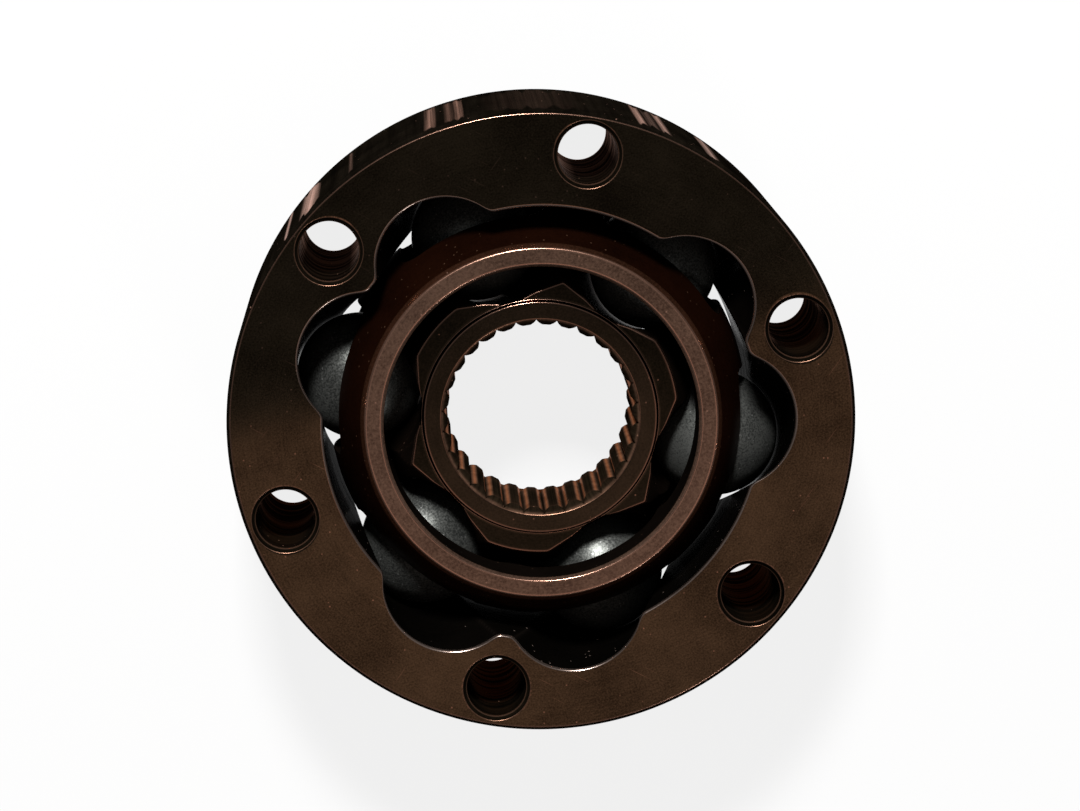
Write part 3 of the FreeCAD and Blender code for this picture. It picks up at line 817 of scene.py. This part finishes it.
def worn_edge_group():
    """Edges rubbed bright, broken up by a noise so that none is even, and the whole edge, unbroken."""
    group, given, out = new_group("worn_edge", {"Amount": 1.0}, ["Wear", "Bare"])
    place, _ = object_xyz(group)
    mark = group.nodes.new("ShaderNodeAttribute")
    mark.attribute_name = "edge"
    broken = remap(group, noise(group, place, 300.0, 5.0, 0.7), 0.36, 0.62, 0.3, 1.0)
    wear = times(group, calc(group, "POWER", mark.outputs["Fac"], 1.6), broken)
    plug(group, out["Wear"], times(group, wear, given["Amount"]))
    plug(group, out["Bare"], calc(group, "POWER", mark.outputs["Fac"], 3.0))
    return group


def specks_group():
    """Sparse bright specks of dust and tiny nicks: the hearts of a few cells of a Voronoi pattern."""
    group, given, out = new_group("specks", {"Share": 0.02}, ["Specks"])
    cells = group.nodes.new("ShaderNodeTexVoronoi")
    plug(group, cells.inputs["Vector"], object_xyz(group)[0])
    plug(group, cells.inputs["Scale"], 1500.0)
    chosen = group.nodes.new("ShaderNodeSeparateColor")
    plug(group, chosen.inputs[0], cells.outputs["Color"])
    small = remap(group, cells.outputs["Distance"], 0.28, 0.1)
    rare = calc(group, "LESS_THAN", chosen.outputs[0], given["Share"])
    plug(group, out["Specks"], times(group, small, rare))
    return group


GROUPS |= {"film": oil_film_group(), "edge": worn_edge_group(), "specks": specks_group()}
print("patterns:", ", ".join(GROUPS))

# %% [markdown]
# ## One recipe for all the steel
# A dark and a lighter tone are mixed by the oil film, the tool's lines and a fine grain, and roughness and
# bump come from the same patterns. Clean steel mirrors and has almost no colour of its own. A thick dark
# film, on walls and in bores, is matt and brown instead, so there the share of bare metal is low and rises
# only where it is worn. Seen along the wall, even such a film begins to mirror: that is the skim, which
# feeds the metal's share alone.

# %% The steel recipe
# Copper of the rim's painted reflection bands.
PAINTED_REFLECTION_COPPER = (0.24, 0.12, 0.077)
BAND_STREAKS = 110.0
COAT_ROUGHNESS = 0.22
MICRON = 1e-6


def add_group(tree, name, **values):
    """A pattern in a material, with its own values."""
    node = tree.nodes.new("ShaderNodeGroup")
    node.node_tree = GROUPS[name]
    fill(tree, node.inputs, values)
    return node.outputs


def mix_colour(tree, share, first, second):
    """Two colours mixed by a share."""
    node = tree.nodes.new("ShaderNodeMix")
    node.data_type = "RGBA"
    plug(tree, node.inputs[0], share)
    for socket, colour in ((node.inputs[6], first), (node.inputs[7], second)):
        plug(tree, socket, colour if isinstance(colour, bpy.types.NodeSocket) else (*colour, 1.0))
    return node.outputs[2]


def turned_away(tree, low, high, to_low, to_high):
    """How far the surface turns away from the eye, brought to a range: for gloss alone."""
    facing = tree.nodes.new("ShaderNodeLayerWeight").outputs["Facing"]
    return remap(tree, facing, low, high, to_low, to_high)


def steel(name, dark, light, worn, roughness, bare=1.0, gloss=0.0, graze=(0.2, 0.13, 0.1),
          lines=6000.0, axial=0.0, line_depth=0.3, line_tone=0.25, mottle=0.2, mottle_scale=1800.0,
          grain_tone=0.3, streaks=0.0, wear=0.1, line=0.0, specks=0.02, scratches=0.0,
          reflection_bands_and_coat=0.0, skim=0.0, skim_from=0.93):
    """A steel finish: dark and light are its tones in linear colour, worn that of edges and specks.

    Bare is the share of bare metal, gloss that of the film's own mirror, graze the mirror's tint at grazing
    angles, and skim the share of metal that shows only there. Line depth and mottle are in microns. Wear is
    how far edges are rubbed in patches, line how far along their whole length. The bands-and-coat value gives
    the rim its bands of painted reflection, and the film between them its gloss.
    """
    material = bpy.data.materials.new(name)
    material.use_nodes = True
    tree = material.node_tree
    shader = tree.nodes["Principled BSDF"]
    lathe = add_group(tree, "lathe", Lines=lines, Axial=axial)["Lines"]
    film = add_group(tree, "film", Mottle=mottle_scale)
    edge = add_group(tree, "edge", Amount=wear)

    fine = times(tree, calc(tree, "SUBTRACT", film["Mottle"], 0.5), grain_tone * 3)
    lined = remap(tree, lathe, 0.3, 0.7, 0.0, line_tone)
    tone = calc(tree, "ADD", times(tree, film["Film"], 1.0 - line_tone), lined)
    colour = mix_colour(tree, calc(tree, "ADD", tone, fine, clamp=True), dark, light)
    worn_share = calc(tree, "MAXIMUM", edge["Wear"], times(tree, edge["Bare"], line))
    bared = calc(tree, "MAXIMUM", worn_share, edge["Bare"])
    bare_share = bare
    if streaks:
        streak = add_group(tree, "grain", Fineness=streaks)["Grain"]
        darker = tuple(0.3 * part for part in dark)
        colour = mix_colour(tree, remap(tree, streak, 0.1, 0.9, 0.7, 0.0), colour, darker)
    # Painted reflections: copper bands mixed into the rim's colour; the coat on the film between them is real
    # gloss.
    if reflection_bands_and_coat:
        band_reflections = add_group(tree, "bands")
        streak = add_group(tree, "grain", Fineness=BAND_STREAKS)["Grain"]
        reflection_share = times(tree, band_reflections["Bands"], remap(tree, streak, 0.1, 0.9, 0.3, 1.2))
        colour = mix_colour(tree, reflection_share, colour, PAINTED_REFLECTION_COPPER)
        bared = calc(tree, "MAXIMUM", bared, reflection_share)
        oiled = times(tree, turned_away(tree, 0.45, 0.8, reflection_bands_and_coat, 0.0), band_reflections["Oiled"])
        fill(tree, shader.inputs, {"Coat Weight": oiled, "Coat Roughness": COAT_ROUGHNESS})
    if skim:
        rings = remap(tree, lathe, 0.42, 0.58, 0.08, 1.0)
        skimmed = times(tree, turned_away(tree, skim_from, 0.99, 0.0, skim), rings)
        bare_share = calc(tree, "MAXIMUM", skimmed, times(tree, rings, bare))
    if scratches:
        scratched = times(tree, add_group(tree, "scratches")["Scratches"], scratches)
        colour = mix_colour(tree, scratched, colour, worn)
    colour = mix_colour(tree, worn_share, colour, worn)
    speck = times(tree, add_group(tree, "specks", Share=specks)["Specks"], 0.5)
    colour = mix_colour(tree, speck, colour, worn)

    shader.inputs["Metallic"].default_value = bare
    if bare < 1.0:
        metal = calc(tree, "ADD", times(tree, bared, 1.0 - bare), bare_share, clamp=True)
        plug(tree, shader.inputs["Metallic"], metal)
    rough = remap(tree, film["Mottle"], 0.3, 0.7, roughness * 0.9, roughness * 1.1)
    relief = calc(tree, "ADD", times(tree, lathe, line_depth), times(tree, film["Mottle"], mottle))
    bump = tree.nodes.new("ShaderNodeBump")
    fill(tree, bump.inputs, {"Distance": MICRON, "Height": relief})
    fill(tree, shader.inputs, {"Base Color": colour, "Roughness": rough, "Normal": bump.outputs["Normal"],
                               "Specular IOR Level": gloss, "Specular Tint": (*graze, 1.0)})
    return material


print("the recipe uses", len(GROUPS), "patterns")

# %% [markdown]
# The faces of the outer race are ground and fairly clean, so they mirror the room. Its rim is polished and
# oiled, black but for bands of painted reflection. The drill left coarse rings in the bolt holes, and the
# tracks are ground smooth under a black film.

# %% Finishes of the outer race
COPPER = (0.17, 0.09, 0.056)
EDGE_COPPER = (0.5, 0.28, 0.2)
BRIGHT_COPPER = (0.7, 0.37, 0.24)
COPPER_GRAZE = (0.9, 0.42, 0.26)
PINK_STEEL = (0.62, 0.47, 0.4)

race_finishes = [
    steel("race_ground_face", (0.028, 0.0195, 0.0118), (0.094, 0.067, 0.041), EDGE_COPPER, 0.065,
          graze=(0.3, 0.2, 0.15), line_depth=0.15, mottle=0.1, mottle_scale=3200.0, grain_tone=0.8,
          wear=0.05, line=0.4, specks=0.03, scratches=0.2),
    # The rim's copper bands are painted reflections.
    steel("race_polished_rim", (0.003, 0.0023, 0.0016), (0.010, 0.0075, 0.005), EDGE_COPPER, 0.2,
          bare=0.0, graze=COPPER_GRAZE, lines=3000.0, axial=1.0, line_depth=0.4, streaks=25.0,
          line=0.5, specks=0.01, reflection_bands_and_coat=0.3),
    steel("race_drilled_hole", (0.001, 0.0008, 0.0005), (0.008, 0.0058, 0.0036), BRIGHT_COPPER, 0.3,
          bare=0.035, graze=COPPER_GRAZE, lines=650.0, axial=1.0, line_depth=10.0, line_tone=0.9,
          wear=0.05, line=0.3, specks=0.01, skim=0.5, skim_from=0.905),
    steel("race_ground_track", (0.0008, 0.0007, 0.0006), (0.003, 0.0023, 0.0018), PINK_STEEL, 0.2,
          bare=0.1, graze=(0.9, 0.9, 0.9), axial=1.0, wear=0.03, line=0.5, specks=0.03,
          skim=0.9, skim_from=0.95),
]
print(len(race_finishes), "finishes for the outer race")

# %% [markdown]
# The cage's rims were turned after hardening, so they are paler than their bevels. Its outside is a ground
# sphere of a deep red-brown, and its inside is left black.

# %% Finishes of the cage
cage_rim = dict(bare=0.6, gloss=0.1, line_depth=0.8, line_tone=0.3, mottle_scale=2600.0, grain_tone=0.9,
                line=0.9)
cage_finishes = [
    steel("cage_turned_rim", (0.066, 0.037, 0.0255), (0.16, 0.095, 0.066), EDGE_COPPER, 0.22, **cage_rim),
    steel("cage_ground_sphere", (0.0045, 0.0013, 0.0006), (0.012, 0.0035, 0.0014), COPPER, 0.3,
          bare=0.1, gloss=0.1, axial=1.0, specks=0.06),
    steel("cage_inside", (0.003, 0.0022, 0.0018), (0.008, 0.0055, 0.004), COPPER, 0.35,
          bare=0.2, graze=(0.05, 0.03, 0.02), axial=1.0, wear=0.15),
    steel("cage_turned_bevel", (0.03, 0.0125, 0.0065), (0.07, 0.027, 0.0145), EDGE_COPPER, 0.25,
          wear=0.15, **cage_rim),
]
print(len(cage_finishes), "finishes for the cage")

# %% [markdown]
# The lands on the front face of the inner race are painted darker than its hub: painted shade. The broach left
# streaks along the spline's teeth, whose flanks shine like copper where the shaft slid in. The balls are hard
# grey steel, lapped and dulled by a little grease.

# %% Finishes of the inner race and the balls
star_face = dict(graze=(0.3, 0.2, 0.14), line_depth=0.5, mottle_scale=3200.0, grain_tone=0.8, line=0.6)
star_finishes = [
    steel("star_turned_hub", (0.0245, 0.0192, 0.0127), (0.05, 0.0375, 0.025), EDGE_COPPER, 0.16, **star_face),
    steel("star_ground_side", (0.006, 0.0042, 0.0028), (0.016, 0.010, 0.007), EDGE_COPPER, 0.24,
          bare=0.6, graze=(0.06, 0.04, 0.03), axial=1.0, line=0.6),
    steel("star_broached_spline", (0.008, 0.0053, 0.0032), (0.030, 0.020, 0.0115), BRIGHT_COPPER, 0.3,
          bare=0.0, graze=COPPER_GRAZE, lines=3000.0, line_depth=0.4, streaks=60.0, wear=0.4, line=0.2,
          specks=0.01),
    # Painted shade: the lands beside the hub get a darker copy of its finish.
    steel("star_land_painted_shade", (0.01, 0.009, 0.0057), (0.026, 0.0205, 0.0137), EDGE_COPPER, 0.16, **star_face),
]
ball_finishes = [
    steel("ball_lapped", (0.065, 0.068, 0.064), (0.21, 0.215, 0.2), (0.8, 0.8, 0.78), 0.38,
          bare=0.72, gloss=0.2, graze=(0.15, 0.15, 0.15), line_depth=0.0, line_tone=0.0, mottle=1.3,
          mottle_scale=3000.0, grain_tone=1.3, wear=0.0, specks=0.12),
]
print(len(star_finishes), "finishes for the inner race,", len(ball_finishes), "for the balls")

# %% [markdown]
# ## Pieces on their bodies
# Each sewn piece stands for one imported node, so it replaces that node and rides on its body.
# The body of each node has the node's own name.

# %% Make the pieces


def dress(node, patches, finishes):
    """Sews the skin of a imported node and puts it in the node's place."""
    piece = sew(f"{node}_skin", patches, finishes)
    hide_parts(node)
    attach(piece, node)


dress("outer_race", outer_race_patches(), race_finishes)
dress("cage", cage_patches(), cage_finishes)
dress("inner_race", inner_race_patches(), star_finishes)
for index in range(BALLS):
    dress(f"ball_{index + 1}", ball_patches(index), ball_finishes)

# %% [markdown]
# ## Table
# The joint lies on its back face on a plain pale table, which glows nearly white to the camera and in the
# steel's reflections, but keeps part of its own shading, so that the joint casts a soft shadow. To the light
# that it throws back on the joint it is plain paper.

# %% A plain pale table
TABLE_SIDE = 3.0
GLOW_SHARE = 0.84

table_mesh = bpy.data.meshes.new("table")
corners = [(x * TABLE_SIDE, y * TABLE_SIDE, -HALF_RACE * MM) for x, y in ((-1, -1), (1, -1), (1, 1), (-1, 1))]
table_mesh.from_pydata(corners, [], [(0, 1, 2, 3)])
add_object("table", table_mesh)

paper = bpy.data.materials.new("table_white")
paper.use_nodes = True
tree = paper.node_tree
tree.nodes.clear()
kinds = ("OutputMaterial", "BsdfDiffuse", "Emission", "LightPath", "MixShader")
output, shaded, glow, path, blend = (tree.nodes.new("ShaderNode" + kind) for kind in kinds)
shaded.inputs["Color"].default_value = (0.95, 0.95, 0.95, 1)
direct, glossy, through = (path.outputs[f"Is {kind} Ray"] for kind in ("Camera", "Glossy", "Transmission"))
seen = calc(tree, "MAXIMUM", direct, calc(tree, "MAXIMUM", glossy, through))
fill(tree, blend.inputs, (times(tree, seen, GLOW_SHARE), shaded.outputs[0], glow.outputs[0]))
plug(tree, output.inputs["Surface"], blend.outputs[0])
table_mesh.materials.append(paper)
print(f"table {2 * TABLE_SIDE} m wide, {GLOW_SHARE:.0%} glow to the camera")

# %% [markdown]
# ## Camera
# The camera stands where the photographer stood. Its turn, place and lens were solved from the race's
# outline, its two faces and its bolt holes.

# %% Camera
right = Vector((0.93676, -0.34824, 0.03474))
down = Vector((-0.34902, -0.92225, 0.16628))
onward = Vector((-0.02587, -0.16789, -0.98547))
STANDPOINT = Vector((17.594, 111.96, 659.79)) * MM

camera = bpy.data.cameras.new("photo_view")
camera.lens = 126.13
look = Matrix((right, -down, -onward)).transposed().to_4x4()
bpy.context.scene.camera = add_object("photo_view", camera, Matrix.Translation(STANDPOINT) @ look)
print(f"camera {STANDPOINT.length:.2f} m away")

# %% [markdown]
# ## Light
# One small softbox stands high behind the joint, slightly to the left: it draws the bright lines along the
# upper outer edges and the lower inner ones, and lights the balls. A weak strip, low and to the right,
# glints on the lower rim. A warm card in front is mirrored in the lower part of the flat faces, and its
# upper edge divides them into a lighter and a darker part. An even grey world fills the rest.

# %% Lamps and world


def softbox(name, place, width, height, radiance, roll=0.0, colour=(1.0, 1.0, 1.0)):
    """A rectangular lamp that looks at the joint, sized in metres; its power gives its face that radiance."""
    lamp = bpy.data.lights.new(name, "AREA")
    lamp.shape = "RECTANGLE"
    lamp.size, lamp.size_y = width, height
    lamp.energy = radiance * math.pi * width * height
    lamp.color = colour
    toward = place.normalized()
    across = (-down).cross(toward).normalized()
    upward = toward.cross(across)
    facing = Matrix((across, upward, toward)).transposed().to_4x4() @ Matrix.Rotation(roll, 4, "Z")
    add_object(name, lamp, Matrix.Translation(place) @ facing)
    print(f"{name}: {lamp.energy:.1f} W")


def joint_place(azimuth, tilt, distance):
    """A place at an angle round the joint axis and a tilt from it, in degrees, and a distance in metres."""
    turns = Matrix.Rotation(math.radians(azimuth), 4, "Z") @ Matrix.Rotation(math.radians(tilt), 4, "Y")
    return turns @ Vector((0, 0, distance))


softbox("key_softbox", joint_place(77.4, 42.0, 1.3), 0.2, 0.2, 155.0)
softbox("low_strip", joint_place(277.0, 58.0, 1.3), 0.36, 0.08, 16.0)
card_place = 0.1 * right + 0.5 * down - onward
softbox("low_card", card_place, 0.7, 0.34, 0.52, math.radians(13.5), (1.0, 0.67, 0.55))

world = bpy.data.worlds.new("studio_grey")
world.use_nodes = True
world.node_tree.nodes["Background"].inputs["Color"].default_value = (0.12, 0.12, 0.12, 1)
bpy.context.scene.world = world
bpy.context.scene.view_settings.view_transform = "Standard"
